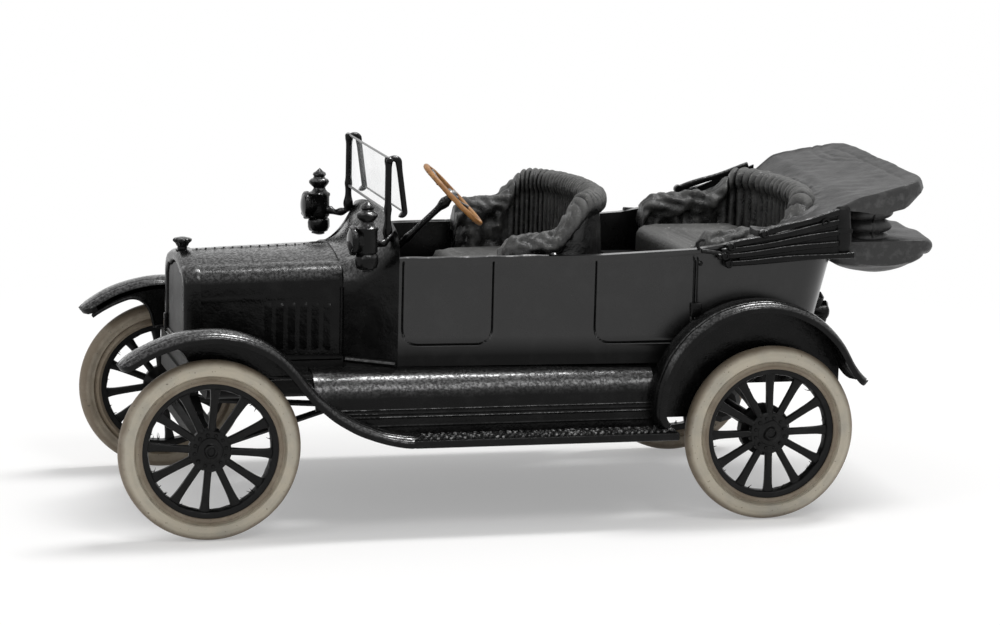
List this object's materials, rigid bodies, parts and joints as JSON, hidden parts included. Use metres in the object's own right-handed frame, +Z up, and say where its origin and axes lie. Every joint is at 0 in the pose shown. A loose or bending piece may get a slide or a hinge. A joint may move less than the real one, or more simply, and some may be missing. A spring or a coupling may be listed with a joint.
{
  "type": "scale model of a brass era touring car",
  "caption": "Small-scale model of an open touring car with spoked wheels that turn, curved fenders, ribbed seats, steering wheel, folded windscreen and folded top.",
  "frame": {"origin": "on the ground under the middle of the model, at the bottom centre of its box", "axes": "+X rearward along the car, +Y to the car's right-hand side, +Z up"},
  "size_m": [0.0439, 0.0184, 0.0186],
  "materials": {
    "gloss_black": "sprayed gloss black with a fine grain",
    "satin_black": "satin black",
    "charcoal_leathercloth": "matt charcoal, cast pleats and tufts",
    "charcoal_top": "matt charcoal, creased",
    "clear_pane": "clear",
    "ivory_tyre": "matt ivory",
    "tan_rim": "painted tan",
    "grey_core": "dull dark grey"
  },
  "bodies": {
    "car": {"body_tub": "gloss_black", "bonnet": "gloss_black", "chassis_frame": "satin_black", "cowl": "gloss_black", "drive_shaft": "satin_black", "engine_sump": "satin_black", "floor": "satin_black", "front_axle": "satin_black", "front_fender_left": "gloss_black", "front_fender_right": "gloss_black", "front_seat_back": "charcoal_leathercloth", "front_seat_cushion": "charcoal_leathercloth", "front_spring": "satin_black", "radiator_cap": "gloss_black", "radiator_core": "grey_core", "radiator_shell": "gloss_black", "radius_rods": "satin_black", "rear_axle": "satin_black", "rear_fender_left": "gloss_black", "rear_fender_right": "gloss_black", "rear_seat_back": "charcoal_leathercloth", "rear_seat_cushion": "charcoal_leathercloth", "rear_spring": "satin_black", "running_board_left": "gloss_black", "running_board_right": "gloss_black", "side_lamp_left": "gloss_black", "side_lamp_right": "gloss_black", "splash_apron_left": "gloss_black", "splash_apron_right": "gloss_black", "steering_column": "gloss_black", "steering_wheel": "tan_rim", "tail_lamp": "gloss_black", "top_folds": "charcoal_top", "top_irons_left": "gloss_black", "top_irons_right": "gloss_black", "top_lobe": "charcoal_top", "top_sheet": "charcoal_top", "windscreen_lower_glass": "clear_pane", "windscreen_posts": "gloss_black", "windscreen_upper_frame": "gloss_black", "windscreen_upper_glass": "clear_pane"},
    "wheel_front_left_body": {"tyre_front_left": "ivory_tyre", "wheel_front_left": "satin_black"},
    "wheel_front_right_body": {"tyre_front_right": "ivory_tyre", "wheel_front_right": "satin_black"},
    "wheel_rear_left_body": {"tyre_rear_left": "ivory_tyre", "wheel_rear_left": "satin_black"},
    "wheel_rear_right_body": {"tyre_rear_right": "ivory_tyre", "wheel_rear_right": "satin_black"}
  },
  "joints": [
    {"name": "front_left_wheel_spin", "type": "hinge", "parent": "car", "child": "wheel_front_left_body", "pos_m": [-0.01744, -0.00822, 0.00457], "axis": [0, 1, 0], "continuous": true},
    {"name": "front_right_wheel_spin", "type": "hinge", "parent": "car", "child": "wheel_front_right_body", "pos_m": [-0.01744, 0.00822, 0.00457], "axis": [0, 1, 0], "continuous": true},
    {"name": "rear_left_wheel_spin", "type": "hinge", "parent": "car", "child": "wheel_rear_left_body", "pos_m": [0.01176, -0.00822, 0.00457], "axis": [0, 1, 0], "continuous": true},
    {"name": "rear_right_wheel_spin", "type": "hinge", "parent": "car", "child": "wheel_rear_right_body", "pos_m": [0.01176, 0.00822, 0.00457], "axis": [0, 1, 0], "continuous": true}
  ]
}
